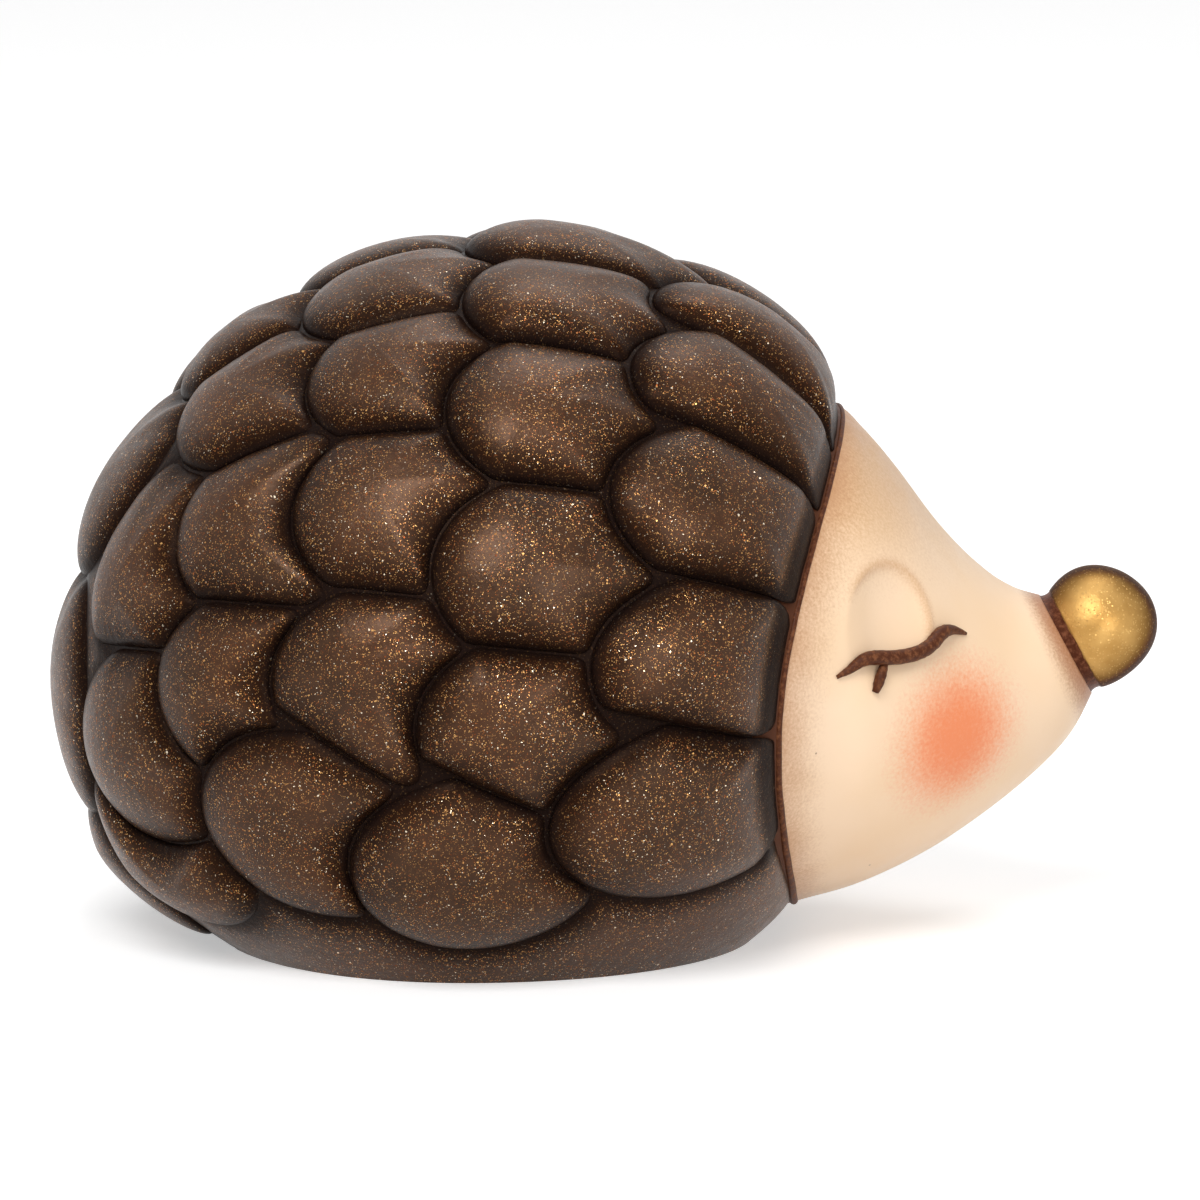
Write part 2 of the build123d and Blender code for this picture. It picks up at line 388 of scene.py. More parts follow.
def unit_ball(columns, rows):
    """A closed ball of radius 1 around Z, wrapped from a flat grid."""
    form = bmesh.new()
    bmesh.ops.create_grid(form, x_segments=columns, y_segments=rows, size=0.5)
    for vert in form.verts:
        turn, fall = (vert.co.x + 0.5) * 2 * pi, (vert.co.y + 0.5) * pi
        vert.co = sin(fall) * cos(turn), sin(fall) * sin(turn), cos(fall)
    merge(form, weld)
    return as_mesh(form, "ball")


def add_ball(form, ball):
    """Adds a ball to a bmesh, and gives its new vertices and their places."""
    start = len(form.verts)
    form.from_mesh(ball)
    form.verts.ensure_lookup_table()
    verts = form.verts[start:]
    return verts, places_of(verts)


def places_of(verts):
    return np.array([vert.co[:] for vert in verts])


def normals_of(verts):
    return np.array([vert.normal[:] for vert in verts])


def move(verts, places):
    for vert, place in zip(verts, places):
        vert.co = place


def face_outwards(form):
    bmesh.ops.recalc_face_normals(form, faces=form.faces)


def new_object(name, data):
    """An object in the scene."""
    made = bpy.data.objects.new(name, data)
    bpy.context.scene.collection.objects.link(made)
    return made


pad_ball = unit_ball(rim_angles, pad_rows)


def finish_piece(form, name, replaced=(), masks=None):
    """Makes a bmesh an object that rides on the figurine, its masks stored for the materials."""
    mesh = as_mesh(form, name)
    mesh.shade_smooth()
    for mask, values in (masks or {}).items():
        attribute = mesh.attributes.new(mask, "FLOAT", "POINT")
        attribute.data.foreach_set("value", np.asarray(values, np.float32))
    piece = new_object(name, mesh)
    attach(piece, "root")
    if replaced:
        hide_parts(*replaced)
    return piece


# How many rings have high pads, a pad's fall towards its free end, its unevenness, how far it
# bulges into the coat, and how near its middle level a point counts as its edge
front_rings = 2
crown_fall_share = 0.15
crown_drift = 0.16 * MM
crown_drift_grain = 9 * MM
pad_belly = 1.2 * MM
edge_level = 1e-6


def scale_pad(form, scale, seed):
    """Adds one scale to a bmesh as a pad in its cell, and gives each point's room to the rim."""
    verts, ball = add_ball(form, pad_ball)
    middle, radius, rise, depth = scale_outline(scale)
    turn = np.arctan2(ball[:, 1], ball[:, 0]) % (2 * pi)
    reach = np.minimum(np.hypot(ball[:, 0], ball[:, 1]), 1)
    step = turn / (2 * pi) * rim_angles

    def at_rim(values):
        low = np.floor(step).astype(int)
        share = step - low
        return values[low % rim_angles] * (1 - share) + values[(low + 1) % rim_angles] * share

    rim_radius, rim_rises, rim_depths = at_rim(radius), at_rim(rise), at_rim(depth)
    along = middle[0] + rim_radius * reach * np.cos(turn)
    beside = middle[1] + rim_radius * reach * np.sin(turn)
    flat = scale.middle + along[:, None] * scale.forward + beside[:, None] * scale.side
    ground = onto_coat(flat, scale.out)
    dome = np.maximum(1 - reach**2, 0)
    crown = scale_rise if scale.ring < front_rings else rear_scale_rise
    crown = crown * (1 - crown_fall_share * (along - middle[0]) / scale.half_length)
    crown = crown + crown_drift * drift(ground, crown_drift_grain, seed)
    top = (crown + rim_depths) * dome ** (rim_rises / 2) - rim_depths
    bottom = -rim_depths - pad_belly * np.sqrt(dome)
    height = np.where(ball[:, 2] > 0, top, bottom)
    height = np.where(np.abs(ball[:, 2]) < edge_level, -rim_depths, height)
    out = coat_normals(ground)
    along_border = border_level(ground, out) if scale.ring == 0 else out
    places = tucked(ground + height[:, None] * np.where(height[:, None] < 0, along_border, out))
    move(verts, places)
    return (1 - reach) * rim_radius


def build_ring(name, ring):
    """One ring of scales, near and far side, as one piece of separate closed pads."""
    form = bmesh.new()
    numbered = [(number, scale) for number, scale in enumerate(all_scales) if scale.ring == ring]
    insets = [scale_pad(form, scale, number) for number, scale in numbered]
    face_outwards(form)
    masks = {"inset": np.concatenate(insets)}
    return finish_piece(form, name + "_glazed", (name,), masks)


def scale_closeness(points):
    """How near each point of the bare coat lies to a scale's rim, negative inside a scale."""
    gaps = np.full(len(points), np.inf)
    for scale in all_scales:
        gaps = np.minimum(gaps, (scale.spread(points, 0) - 1) * scale_half_width)
    return gaps


# Coat body: its grid, its rim at the face, and how far it drops where scales cover it
coat_columns = 256
coat_rows = 132
coat_cap_rows = 7
hollow_rows = 80
row_crowding = 1.25
rim_lean = 0.3 * MM
low_rim_lean = 0.9 * MM
round_in = 1.9 * MM
low_round_depth = 0.9 * MM
high_round_depth = 1.6 * MM
round_share = 0.98
covered_drop = 0.35 * MM
hub_share = 0.6
sharp_below = 0.01 * MM

# Ranges of height over which the coat body changes: at its foot, under the chin, up the rim, and
# where it may drop under the scales
foot_heights = (1 * MM, 5 * MM)
chin_heights = (12 * MM, 22 * MM)
rim_heights = (3 * MM, 14 * MM)
bare_heights = (1.0 * MM, 4.5 * MM)

# Over which closeness to a scale's rim the coat body rises from under the scale
cover_edge = (-1.5 * MM, 0.5 * MM)

# Meridians around the nose pole, searched from it for the border
border_search = (0.05 * pi, 0.75 * pi)
border_search_steps = 300


def past_rim(points):
    """How far points lie ahead of the coat's rim, which leans over the face, most at the chin."""
    height = points[..., 2]
    low = 1 - smooth_steps(*chin_heights, height)
    low_lean = low_rim_lean * low * smooth_steps(*foot_heights, height)
    return border_reach(points) - rim_lean - low_lean


def border_angles(turns):
    """The angle from the nose pole at which the coat ends at the face, along each meridian."""
    angles = np.linspace(*border_search, border_search_steps)
    first = np.argmax(past_rim(egg_places(turns[:, None], angles)) < 0, axis=1)
    return angles[first]


def build_coat():
    """The coat's body: a smooth egg, rounded in at the face and hollow over the base plate."""
    form = bmesh.new()
    verts, ball = add_ball(form, unit_ball(coat_columns, coat_rows))
    turn = np.arctan2(ball[:, 1], ball[:, 0])
    fall = np.arccos(np.clip(ball[:, 2], -1, 1)) / pi
    cap_share = coat_cap_rows / coat_rows
    turns = np.arange(coat_columns) * 2 * pi / coat_columns
    column = np.round(turn / (2 * pi) * coat_columns).astype(int) % coat_columns
    border = border_angles(turns)[column]
    body_share = np.clip((fall - cap_share) / (1 - cap_share), 0, 1) ** row_crowding
    angle = border + body_share * (pi - border)
    ground = egg_places(turn, angle)
    past = np.clip(1 + past_rim(ground) / round_in, 0, 1)
    depth = smooth_steps(*rim_heights, ground[:, 2]) * high_round_depth + low_round_depth
    drop = depth * (1 - np.sqrt(1 - past**2 * round_share))
    covered = 1 - smooth_steps(*cover_edge, scale_closeness(ground))
    covered = covered * smooth_steps(*bare_heights, ground[:, 2])
    drop = np.maximum(drop, covered_drop * covered)
    places = tucked(ground - drop[:, None] * coat_normals(ground))
    cap = np.clip(fall / cap_share, 0, 1)[:, None]
    hub = coat_centre + ring_pole * hub_share * coat_half_length
    places = np.where(cap < 1, hub + (places - hub) * cap, places)
    move(verts, places)
    cut_flat(form, 0, keep_above=True)
    add_form(form, hollow_form())
    close_rims(form)
    for edge in form.edges:
        edge.smooth = max(vert.co.z for vert in edge.verts) > sharp_below
    masks = {"inset": scale_closeness(places_of(form.verts))}
    return finish_piece(form, "coat_body_glazed", ("coat_shell",), masks)


def hollow_form():
    """The low part of the coat's hollow, open below and above."""
    hollow = bmesh.new()
    verts, inner = add_ball(hollow, unit_ball(coat_columns, hollow_rows))
    lengthwise = inner[:, :1] * coat_axis * (coat_half_length - coat_wall)
    upward = vec(-sin(coat_pitch), 0, cos(coat_pitch))
    crosswise = inner[:, 1:2] * near_side + inner[:, 2:] * upward
    inside = coat_centre + lengthwise + crosswise * (coat_half_width - coat_wall)
    move(verts, tucked(inside))
    cut_flat(hollow, 0, keep_above=True)
    cut_flat(hollow, hollow_height, keep_above=False)
    return hollow


def close_rims(form):
    """Closes the hollow above, and the foot between the outside of the coat and the hollow."""
    rims = [edge for edge in form.edges if edge.is_boundary]
    low_rims = [edge for edge in rims if edge.verts[0].co.z < hollow_height / 2]
    high_rim = [edge for edge in rims if edge.verts[0].co.z > hollow_height / 2]
    bmesh.ops.holes_fill(form, edges=high_rim, sides=0)
    bmesh.ops.triangle_fill(form, edges=low_rims, use_beauty=True)
    face_outwards(form)


def cut_flat(form, height, keep_above):
    """Cuts a form level and drops what lies below, or above, the cut."""
    bmesh.ops.bisect_plane(
        form,
        geom=[*form.verts, *form.edges, *form.faces],
        plane_co=(0, 0, height),
        plane_no=(0, 0, 1),
        clear_inner=keep_above,
        clear_outer=not keep_above,
    )


def add_form(form, other):
    """Moves another bmesh's contents into a bmesh."""
    form.from_mesh(as_mesh(other, "added"))


def build_base():
    """The plate that closes the hollow, its rim drawn in with the foot."""
    form = bmesh.new()
    form.from_mesh(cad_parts["base_plate"].data)
    merge(form, weld)
    move(form.verts, tucked(places_of(form.verts)))
    piece = finish_piece(form, "base_plate_clay", ("base_plate",))
    piece.data.shade_flat()
    return piece


# Camera at the photograph's viewing angle, and rays from its pixels onto the figurine

view_forward = vec(
    -sin(camera_azimuth) * cos(camera_elevation),
    cos(camera_azimuth) * cos(camera_elevation),
    -sin(camera_elevation),
)
view_right = vec(cos(camera_azimuth), sin(camera_azimuth), 0)
view_up = np.cross(view_right, view_forward)


def pixel_place(pixel):
    """The place of a pixel on the plane through the origin that faces the camera."""
    across = (pixel[0] - origin_pixel[0]) * photo_pixel
    upward = (origin_pixel[1] - pixel[1]) * photo_pixel
    return view_right * across + view_up * upward


camera = new_object("camera", bpy.data.cameras.new("camera"))
aim = pixel_place((photo_pixels / 2, photo_pixels / 2))
camera.location = Vector(aim - view_forward * camera_distance)
camera.rotation_euler = Vector(view_forward).to_track_quat("-Z", "Y").to_euler()
camera.data.sensor_width = sensor_width
camera.data.lens = sensor_width * camera_distance / (photo_pixels * photo_pixel)
bpy.context.scene.camera = camera
camera_place = np.array(camera.location)


def onto_face(pixel):
    """Where the camera's ray through a pixel meets the face, and the face's normal there."""
    ray = unit(pixel_place(pixel) - camera_place)
    place, normal, _, _ = face_tree.ray_cast(Vector(camera_place), Vector(ray))
    return np.array(place), np.array(normal)


def smooth_through(knots, values, places):
    """A smooth curve through values at knots, read at places."""
    knots, values = np.asarray(knots, float), np.asarray(values, float)
    slopes = np.gradient(values, knots, axis=0)
    index = np.clip(np.searchsorted(knots, places, side="right") - 1, 0, len(knots) - 2)
    width = knots[index + 1] - knots[index]
    share = (places - knots[index]) / width
    if values.ndim > 1:
        width, share = width[:, None], share[:, None]
    keep = 1 - share
    return (
        values[index] * (1 + 2 * share) * keep**2
        + values[index + 1] * (3 - 2 * share) * share**2
        + slopes[index] * width * share * keep**2
        - slopes[index + 1] * width * share**2 * keep
    )


def face_sections():
    """Reach, rise, height, width and tilt of the face's sections in metres and radians."""
    sizes = face_length, face_height, face_height / 2, face_width / 2, snout_end_tilt
    rows = np.array(face_section_shares) * sizes
    rows[:, 1] += face_rise
    snout_end = face_length, snout_rise, snout_end_radius, snout_end_radius, snout_end_tilt
    return np.vstack((rows, snout_end))


def face_points(shares, turns):
    """Points of the face: share 0 at its rear section and 1 at the nose, turned from the top."""
    rows = face_sections()
    knots = np.linspace(0, 1, len(rows))
    reach, rise, half_height, half_width, tilt = (
        smooth_through(knots, column, shares) for column in rows.T
    )
    middle = np.stack((border_x + reach, 0 * reach, coat_centre[2] + rise), -1)
    upward = np.stack((-np.sin(tilt), 0 * tilt, np.cos(tilt)), -1)
    spread = (half_height * np.cos(turns))[..., None] * upward
    spread = spread + (half_width * np.sin(turns))[..., None] * near_side
    return middle + spread


face_columns = 320
face_rows = 130


def build_face_form():
    """The face as a closed form: a ball whose rows become the face's sections."""
    form = bmesh.new()
    verts, ball = add_ball(form, unit_ball(face_columns, face_rows))
    turn = np.arctan2(ball[:, 1], ball[:, 0])
    row = np.arccos(np.clip(ball[:, 2], -1, 1)) / pi * face_rows
    share = 1 - np.clip((row - 1) / (face_rows - 2), 0, 1)
    places = face_points(share, turn)
    poles = (row < 0.5) | (row > face_rows - 0.5)
    top_and_bottom = face_points(share, 0 * turn), face_points(share, 0 * turn + pi)
    places[poles] = ((top_and_bottom[0] + top_and_bottom[1]) / 2)[poles]
    move(verts, places)
    face_outwards(form)
    return form, share


face_form, face_share = build_face_form()
face_tree = BVHTree.FromBMesh(face_form)

# Eyelid: a dome whose upper rim is crisp and whose lower rim fades into the cheek
eyelid_half_width = 5.3 * MM
eyelid_half_height = 6.2 * MM
eyelid_rise = 1.25 * MM
eyelid_lean = radians(-24)
eyelid_depth = 6 * MM
lid_power = 1.5
lid_crispness = 0.8
crisp_range = (-0.5, 0.5)
crease_spread = 1.02
crease_width = 0.13
crease_range = (-0.3, 0.4)
eyelid_middle, eyelid_out = onto_face(eyelid_pixel)
blush_middle, _ = onto_face(blush_pixel)


def eyelid_form(points):
    """The eyelid's rise over the cheek at near points, and how strongly its crease shows."""
    forward = unit(vec(1, 0, 0) - eyelid_out * eyelid_out[0])
    upward = np.cross(forward, eyelid_out)
    upward = upward if upward[2] > 0 else -upward
    offsets = points - eyelid_middle
    ahead, above = offsets @ forward, offsets @ upward
    turned_ahead = ahead * cos(eyelid_lean) + above * sin(eyelid_lean)
    turned_above = above * cos(eyelid_lean) - ahead * sin(eyelid_lean)
    spread = np.hypot(turned_ahead / eyelid_half_width, turned_above / eyelid_half_height)
    dome = np.maximum(1 - spread**2, 0)
    height = turned_above / eyelid_half_height
    rise = dome ** (lid_power - lid_crispness * smooth_steps(*crisp_range, height))
    crease = np.exp(-(((spread - crease_spread) / crease_width) ** 2))
    crease = crease * smooth_steps(*crease_range, height)
    here = offsets @ eyelid_out > -eyelid_depth
    return np.where(here, rise * eyelid_rise, 0), np.where(here, crease, 0)


def build_face():
    """The face with its eyelids raised, and the masks that its airbrushed colours follow."""
    points = places_of(face_form.verts)
    near_points = np.where(points[:, 1:2] > 0, points * far_flip, points)
    rise, crease = eyelid_form(near_points)
    move(face_form.verts, points + normals_of(face_form.verts) * rise[:, None])
    masks = {
        "from_border": border_reach(points) / MM,
        "to_nose": (1 - face_share) * len(face_section_shares),
        "from_blush": np.linalg.norm(near_points - blush_middle, axis=1) / MM,
        "crease": crease,
    }
    replaced = ("face_shell", "eyelid_right", "eyelid_left")
    return finish_piece(face_form, "face_glazed", replaced, masks)


line_roundness = 5
line_steps = 4
line_weld = 0.001 * MM


def sunk_line(name, places, widths, heights, closed=False):
    """A brushed ridge: a round tube sunk so that a given width and height stand proud."""
    line = bpy.data.curves.new(name, "CURVE")
    line.dimensions = "3D"
    line.bevel_depth = 1
    line.bevel_resolution = line_roundness
    line.use_fill_caps = True
    spline = line.splines.new("NURBS")
    spline.points.add(len(places) - 1)
    for point, (place, normal), width, height in zip(spline.points, places, widths, heights):
        radius = (width**2 / 4 + height**2) / (2 * height)
        point.co = (*(place - normal * (radius - height)), 1)
        point.radius = radius
    spline.order_u = 4
    spline.use_endpoint_u = not closed
    spline.use_cyclic_u = closed
    spline.resolution_u = line_steps
    holder = new_object(name, line)
    shown = holder.evaluated_get(bpy.context.evaluated_depsgraph_get())
    mesh = bpy.data.meshes.new_from_object(shown)
    bpy.data.objects.remove(holder)
    form = bmesh.new()
    form.from_mesh(mesh)
    merge(form, line_weld)
    face_outwards(form)
    return form


# Lashes: pixels, width and share of it left at the tips for each stroke, then the strokes' height,
# tapers and roughness, each as amount, grain and seed
lash_strokes = ((lash_pixels, 0.95 * MM, 0.25), (short_lash_pixels, 0.8 * MM, 0.65))
lash_height = 0.18 * MM
lash_start_taper = 3.5
lash_end_taper = 5
lash_roughness = ((0.06 * MM, 0.5 * MM, 3), (0.05 * MM, 0.22 * MM, 4))


def lash_form(pixels, width, tip_share, side):
    """One brushed stroke of the lashes, tapered at its ends, on the near or the far cheek."""
    places = [(place * side, normal * side) for place, normal in map(onto_face, pixels)]
    shares = np.linspace(0, 1, len(places))
    taper = np.minimum(shares * lash_start_taper, (1 - shares) * lash_end_taper)
    swell = tip_share + (1 - tip_share) * np.minimum(1, taper)
    form = sunk_line("stroke", places, width * swell, lash_height * swell)
    points = places_of(form.verts)
    rough = sum(amount * drift(points, grain, seed) for amount, grain, seed in lash_roughness)
    move(form.verts, points + rough[:, None] * normals_of(form.verts))
    return form


def build_lash(name, side):
    """Both strokes of one cheek's lashes."""
    form = bmesh.new()
    for stroke in lash_strokes:
        add_form(form, lash_form(*stroke, side))
    return finish_piece(form, name)


# Collar bead: starts just ahead of the border and is broadest under the chin; its unevenness has
# a grain and a seed, as the nose's has
collar_offset = 0.66 * MM
collar_points = 96
collar_search_share = 0.6
collar_search_steps = 400
collar_width = 0.5 * MM
chin_extra_width = 0.30 * MM
collar_height = 0.22 * MM
chin_extra_height = 0.10 * MM
collar_uneven_share = 0.12
collar_drift = (3 * MM, 5)


def build_collar():
    """The bead along the border, laid on the face just ahead of it."""
    turns = np.arange(collar_points) * 2 * pi / collar_points
    shares = np.linspace(0, collar_search_share, collar_search_steps)
    grid = face_points(*np.broadcast_arrays(shares[None, :], turns[:, None]))
    first = np.argmax(border_reach(grid) > collar_offset, axis=1)
    on_face = grid[np.arange(collar_points), first]
    middle = on_face.mean(0)
    places = []
    for place in on_face:
        near, normal, _, _ = face_tree.find_nearest(Vector(place))
        out = np.array(normal)
        out = out if out @ (place - middle) > 0 else -out
        places.append((np.array(near), out))
    low = (1 - np.cos(turns)) / 2
    uneven = 1 + collar_uneven_share * drift(on_face, *collar_drift)
    widths = (collar_width + chin_extra_width * low) * uneven
    heights = collar_height + chin_extra_height * low
    form = sunk_line("collar", places, widths, heights, closed=True)
    return finish_piece(form, "face_collar_brushed", ("face_collar",))


# Nose: a round dome on a grooved neck, leaning a little further up than its seat
nose_seat = vec(border_x + face_length, 0, coat_centre[2] + snout_rise)
nose_seat_axis = vec(cos(snout_end_tilt), 0, sin(snout_end_tilt))
nose_radius = 5.87 * MM
nose_half_length = 6.1 * MM
nose_ahead = 3.45 * MM
nose_lip = 1.3 * MM
nose_lean = 0.35 * MM
nose_lean_length = 8 * MM
nose_core_ahead = 3 * MM
nose_uneven_share = 0.05 / 6
nose_drift = (4 * MM, 11)
nose_steps = 96
neck_steps = 25
dome_steps = 60
nose_weld = 0.005 * MM

# Profile of the neck: heights and radii in millimetres
neck_profile = (
    (-1.2, 4.6), (-0.5, 5.25), (-0.1, 5.42), (0.2, 5.28), (0.6, 5.22), (0.95, 5.28), (1.12, 5.42),
)


def build_nose():
    """The nose spun from its profile, leaned up and made a little uneven."""
    form = bmesh.new()
    knots = np.arange(len(neck_profile))
    steps = np.linspace(0, len(neck_profile) - 1, neck_steps)
    neck = smooth_through(knots, np.array(neck_profile) * MM, steps)
    start = np.arcsin((nose_lip - nose_ahead) / nose_half_length)
    swing = np.linspace(start, pi / 2, dome_steps)
    dome_heights = nose_ahead + nose_half_length * np.sin(swing)
    dome = np.stack((dome_heights, nose_radius * np.cos(swing)), 1)
    verts = [form.verts.new((radius, 0, height)) for height, radius in (*neck, *dome)]
    edges = [form.edges.new(pair) for pair in zip(verts, verts[1:])]
    bmesh.ops.spin(
        form,
        geom=[*verts, *edges],
        cent=(0, 0, 0),
        axis=(0, 0, 1),
        angle=2 * pi,
        steps=nose_steps,
        use_merge=True,
    )
    merge(form, nose_weld)
    rim = [edge for edge in form.edges if edge.is_boundary]
    bmesh.ops.holes_fill(form, edges=rim, sides=0)
    face_outwards(form)
    local = places_of(form.verts)
    upward = vec(-sin(snout_end_tilt), 0, cos(snout_end_tilt))
    past_lip = np.maximum(local[:, 2] - nose_lip, 0)
    shift = nose_lean * np.sin(np.minimum(past_lip / nose_lean_length, 1) * pi)
    places = nose_seat + local[:, 2:] * nose_seat_axis + local[:, 1:2] * near_side
    places = places + (local[:, :1] + shift[:, None]) * upward
    uneven = nose_uneven_share * drift(places, *nose_drift)
    places = places + uneven[:, None] * (places - nose_seat - nose_core_ahead * nose_seat_axis)
    move(form.verts, places)
    masks = {"ahead": local[:, 2] / MM}
    return finish_piece(form, "nose_gilded", ("nose_knob",), masks)


# Materials

class Maker:
    """Short calls that add nodes to one node tree and join them up."""

    def __init__(self, tree):
        self.nodes, self.links = tree.nodes, tree.links

    def feed(self, socket, value):
        if isinstance(value, bpy.types.NodeSocket):
            self.links.new(value, socket)
        else:
            socket.default_value = value

    def fill(self, node, **inputs):
        """Feeds a node's inputs by name, with _ for each space."""
        for name, value in inputs.items():
            self.feed(node.inputs[name.replace("_", " ")], value)
        return node

    def node(self, kind, settings=None, **inputs):
        made = self.nodes.new(kind)
        for name, value in (settings or {}).items():
            setattr(made, name, value)
        return self.fill(made, **inputs)

    def operate(self, kind, operation, values):
        made = self.node(kind, {"operation": operation})
        for socket, value in zip(made.inputs, values):
            self.feed(socket, value)
        return made.outputs[0]

    def math(self, operation, *values):
        return self.operate("ShaderNodeMath", operation, values)

    def times(self, a, b):
        return self.math("MULTIPLY", a, b)

    def vector(self, operation, *values):
        return self.operate("ShaderNodeVectorMath", operation, values)

    def band(self, value, low, high, start=0.0, end=1.0):
        """A smooth change from start to end while a value goes from low to high."""
        made = self.node(
            "ShaderNodeMapRange", {"interpolation_type": "SMOOTHSTEP"},
            Value=value, From_Min=low, From_Max=high, To_Min=start, To_Max=end,
        )
        return made.outputs["Result"]

    def mix(self, share, a, b):
        """A colour between a and b."""
        made = self.node("ShaderNodeMix", {"data_type": "RGBA"}, Factor=share)
        colours = [socket for socket in made.inputs if socket.type == "RGBA"]
        self.feed(colours[0], a)
        self.feed(colours[1], b)
        return [socket for socket in made.outputs if socket.type == "RGBA"][0]

    def noise(self, place, grain, detail=2.0, roughness=0.5):
        """Noise with features of about the given size in metres."""
        made = self.node(
            "ShaderNodeTexNoise", Vector=place, Scale=1 / grain, Detail=detail, Roughness=roughness
        )
        return made.outputs["Fac"]

    def bump(self, height, distance, strength=1.0, normal=None):
        made = self.node("ShaderNodeBump", Strength=strength, Distance=distance, Height=height)
        if normal is not None:
            self.feed(made.inputs["Normal"], normal)
        return made.outputs["Normal"]

    def attribute(self, name):
        return self.node("ShaderNodeAttribute", {"attribute_name": name}).outputs["Fac"]

    def lean(self, normal, tilt, amount):
        """A normal leaned towards a tilt by an amount."""
        amounts = self.node("ShaderNodeCombineXYZ", X=amount, Y=amount, Z=amount)
        return self.vector(
            "NORMALIZE", self.vector("MULTIPLY_ADD", tilt, amounts.outputs[0], normal)
        )


def new_material(name):
    """A material, a maker for its nodes, its shader, and the places on its object."""
    material = bpy.data.materials.new(name)
    material.use_nodes = True
    make = Maker(material.node_tree)
    place = make.node("ShaderNodeTexCoord").outputs["Object"]
    return material, make, make.nodes["Principled BSDF"], place


def colour(red, green, blue):
    """A colour given as the 0 to 255 values seen on screen."""
    shares = [seen / 255 for seen in (red, green, blue)]
    return (*(((s + 0.055) / 1.055) ** 2.4 if s > 0.04 else s / 12.92 for s in shares), 1.0)


def new_group(name, inputs, outputs):
    """A node group, its input and output nodes, and a maker for what lies between."""
    group = bpy.data.node_groups.new(name, "ShaderNodeTree")
    for side, sockets in (("INPUT", inputs), ("OUTPUT", outputs)):
        for socket, kind in sockets.items():
            group.interface.new_socket(socket, in_out=side, socket_type="NodeSocket" + kind)
    given, out = (group.nodes.new(kind) for kind in ("NodeGroupInput", "NodeGroupOutput"))
    return group, given, out, Maker(group)


def flake_group():
    """Metal flakes in a glaze: where they are, their colour, and how each one is tilted."""
    group, given, out, make = new_group(
        "flakes",
        {"Place": "Vector", "Size": "Float", "Share": "Float"},
        {"Mask": "Float", "Colour": "Color", "Tilt": "Vector"},
    )
    cells = make.node(
        "ShaderNodeTexVoronoi", Vector=given.outputs["Place"],
        Scale=make.math("DIVIDE", 1.0, given.outputs["Size"]), Randomness=1.0,
    )
    parts = make.node("ShaderNodeSeparateColor", Color=cells.outputs["Color"])
    chosen = make.math("LESS_THAN", parts.outputs["Red"], given.outputs["Share"])
    near = make.band(cells.outputs["Distance"], 0.40, 0.24)
    bright = make.math("POWER", parts.outputs["Green"], 1.6)
    warm = make.mix(bright, colour(132, 66, 30), colour(236, 182, 112))
    pale = make.math("GREATER_THAN", parts.outputs["Blue"], 0.93)
    make.fill(
        out,
        Mask=make.times(chosen, near),
        Colour=make.mix(pale, warm, colour(250, 232, 204)),
        Tilt=make.vector("SUBTRACT", cells.outputs["Color"], (0.5, 0.5, 0.5)),
    )
    return group


def spray_group():
    """Fine airbrush spray: a soft mask broken into dots."""
    group, given, out, make = new_group(
        "spray",
        {"Place": "Vector", "Amount": "Float", "Grain": "Float"},
        {"Mask": "Float"},
    )
    dots = make.node(
        "ShaderNodeTexNoise", Vector=given.outputs["Place"],
        Scale=make.math("DIVIDE", 1.0, given.outputs["Grain"]), Detail=3.0, Roughness=0.65,
    )
    amount = given.outputs["Amount"]
    uneven = make.math("SUBTRACT", dots.outputs["Fac"], 0.5)
    mask = make.band(make.math("MULTIPLY_ADD", uneven, 0.7, amount), 0.0, 1.0)
    make.fill(out, Mask=make.times(mask, make.band(amount, 0.0, 0.15)))
    return group


flakes = flake_group()
spray = spray_group()


def add_flakes(make, place, size, share):
    """Flakes of a size over a share of the glaze: their mask, colour and tilt."""
    made = make.node("ShaderNodeGroup", {"node_tree": flakes}, Place=place, Size=size, Share=share)
    return made.outputs["Mask"], made.outputs["Colour"], made.outputs["Tilt"]


def add_spray(make, place, body, amount, grain, paint):
    """A body colour with paint sprayed over it."""
    made = make.node(
        "ShaderNodeGroup", {"node_tree": spray}, Place=place, Amount=amount, Grain=grain
    )
    return make.mix(made.outputs["Mask"], body, paint)


